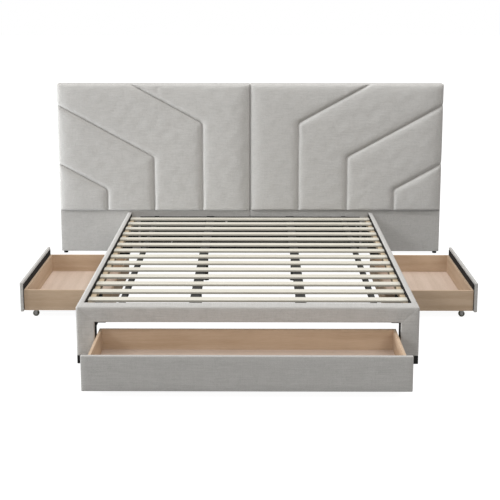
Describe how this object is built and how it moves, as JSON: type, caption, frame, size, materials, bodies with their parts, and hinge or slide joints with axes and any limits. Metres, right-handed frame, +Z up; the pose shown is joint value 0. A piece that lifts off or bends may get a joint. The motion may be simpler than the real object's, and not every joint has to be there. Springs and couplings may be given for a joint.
{
  "type": "platform bed with storage drawers",
  "caption": "Upholstered platform bed with a wide channel-sewn headboard, a slatted base, and storage drawers on casters that roll out of the side rails and the footboard.",
  "frame": {"origin": "floor level under the centre of the bounding box, with the drawers out as they rest", "axes": "+X to the right seen from the foot, +Y from the foot to the headboard, +Z up"},
  "size_m": [2.525, 2.627, 1.14],
  "materials": {
    "upholstery": "woven linen-look polyester",
    "black_cloth": "non-woven",
    "hidden_wood": "raw board",
    "slat_wood": "bleached, satin",
    "drawer_wood": "beech-look laminate, satin",
    "black_steel": "matt powder coat",
    "black_plastic": "matt",
    "wheel_plastic": "satin",
    "zinc_steel": "zinc plated"
  },
  "bodies": {
    "bed": {"headboard_pad_left": "upholstery", "headboard_panel_left": "hidden_wood", "side_rail_cover_left": "upholstery", "side_rail_core_left": "hidden_wood", "headboard_pad_right": "upholstery", "headboard_panel_right": "hidden_wood", "side_rail_cover_right": "upholstery", "side_rail_core_right": "hidden_wood", "headboard_skirts": "upholstery", "headboard_battens": "hidden_wood", "headboard_back_cloths": "black_cloth", "headboard_joining_plates": "zinc_steel", "headboard_glides": "black_plastic", "footboard_cover": "upholstery", "footboard_core": "hidden_wood", "black_linings": "black_cloth", "slat_ledgers": "hidden_wood", "bed_legs": "black_plastic", "slat_01": "slat_wood", "slat_02": "slat_wood", "slat_03": "slat_wood", "slat_04": "slat_wood", "slat_05": "slat_wood", "slat_06": "slat_wood", "slat_07": "slat_wood", "slat_08": "slat_wood", "slat_09": "slat_wood", "slat_10": "slat_wood", "slat_11": "slat_wood", "slat_12": "slat_wood", "slat_13": "slat_wood", "slat_14": "slat_wood", "center_tubes": "black_steel", "outer_tubes": "black_steel", "tube_legs": "black_steel", "tube_saddles": "black_steel", "tube_leg_feet": "black_plastic", "corner_brackets": "zinc_steel", "bracket_bolts": "zinc_steel"},
    "drawer_left": {"drawer_left_front": "upholstery", "drawer_left_lining": "black_cloth", "drawer_left_box": "drawer_wood", "drawer_left_bottom": "drawer_wood", "drawer_left_caster_forks": "zinc_steel"},
    "drawer_left_outer_wheels": {"drawer_left_outer_wheels": "wheel_plastic"},
    "drawer_left_inner_wheels": {"drawer_left_inner_wheels": "wheel_plastic"},
    "drawer_right": {"drawer_right_front": "upholstery", "drawer_right_lining": "black_cloth", "drawer_right_box": "drawer_wood", "drawer_right_bottom": "drawer_wood", "drawer_right_caster_forks": "zinc_steel"},
    "drawer_right_outer_wheels": {"drawer_right_outer_wheels": "wheel_plastic"},
    "drawer_right_inner_wheels": {"drawer_right_inner_wheels": "wheel_plastic"},
    "drawer_foot": {"drawer_foot_front": "upholstery", "drawer_foot_lining": "black_cloth", "drawer_foot_box": "drawer_wood", "drawer_foot_bottom": "drawer_wood", "drawer_foot_caster_forks": "zinc_steel"},
    "drawer_foot_outer_wheels": {"drawer_foot_outer_wheels": "wheel_plastic"},
    "drawer_foot_inner_wheels": {"drawer_foot_inner_wheels": "wheel_plastic"}
  },
  "joints": [
    {"name": "drawer_left_slide", "type": "slide", "parent": "bed", "child": "drawer_left", "axis": [-1, 0, 0], "range_m": [-0.417, 0.08]},
    {"name": "drawer_left_outer_roll", "type": "hinge", "parent": "drawer_left", "child": "drawer_left_outer_wheels", "pos_m": [-1.159, 0.227, 0.017], "axis": [0, -1, 0], "continuous": true},
    {"name": "drawer_left_inner_roll", "type": "hinge", "parent": "drawer_left", "child": "drawer_left_inner_wheels", "pos_m": [-0.794, 0.227, 0.017], "axis": [0, -1, 0], "continuous": true},
    {"name": "drawer_right_slide", "type": "slide", "parent": "bed", "child": "drawer_right", "axis": [1, 0, 0], "range_m": [-0.417, 0.08]},
    {"name": "drawer_right_outer_roll", "type": "hinge", "parent": "drawer_right", "child": "drawer_right_outer_wheels", "pos_m": [1.159, 0.227, 0.017], "axis": [0, 1, 0], "continuous": true},
    {"name": "drawer_right_inner_roll", "type": "hinge", "parent": "drawer_right", "child": "drawer_right_inner_wheels", "pos_m": [0.794, 0.227, 0.017], "axis": [0, 1, 0], "continuous": true},
    {"name": "drawer_foot_slide", "type": "slide", "parent": "bed", "child": "drawer_foot", "axis": [0, -1, 0], "range_m": [-0.455, 0.045]},
    {"name": "drawer_foot_outer_roll", "type": "hinge", "parent": "drawer_foot", "child": "drawer_foot_outer_wheels", "pos_m": [0, -1.1935, 0.017], "axis": [1, 0, 0], "continuous": true},
    {"name": "drawer_foot_inner_roll", "type": "hinge", "parent": "drawer_foot", "child": "drawer_foot_inner_wheels", "pos_m": [0, -0.8625, 0.017], "axis": [1, 0, 0], "continuous": true}
  ],
  "couplings": [
    {"joint": "drawer_left_outer_roll", "follows": "drawer_left_slide", "rad_per_m": 58.824},
    {"joint": "drawer_left_inner_roll", "follows": "drawer_left_slide", "rad_per_m": 58.824},
    {"joint": "drawer_right_outer_roll", "follows": "drawer_right_slide", "rad_per_m": 58.824},
    {"joint": "drawer_right_inner_roll", "follows": "drawer_right_slide", "rad_per_m": 58.824},
    {"joint": "drawer_foot_outer_roll", "follows": "drawer_foot_slide", "rad_per_m": 58.824},
    {"joint": "drawer_foot_inner_roll", "follows": "drawer_foot_slide", "rad_per_m": 58.824}
  ]
}
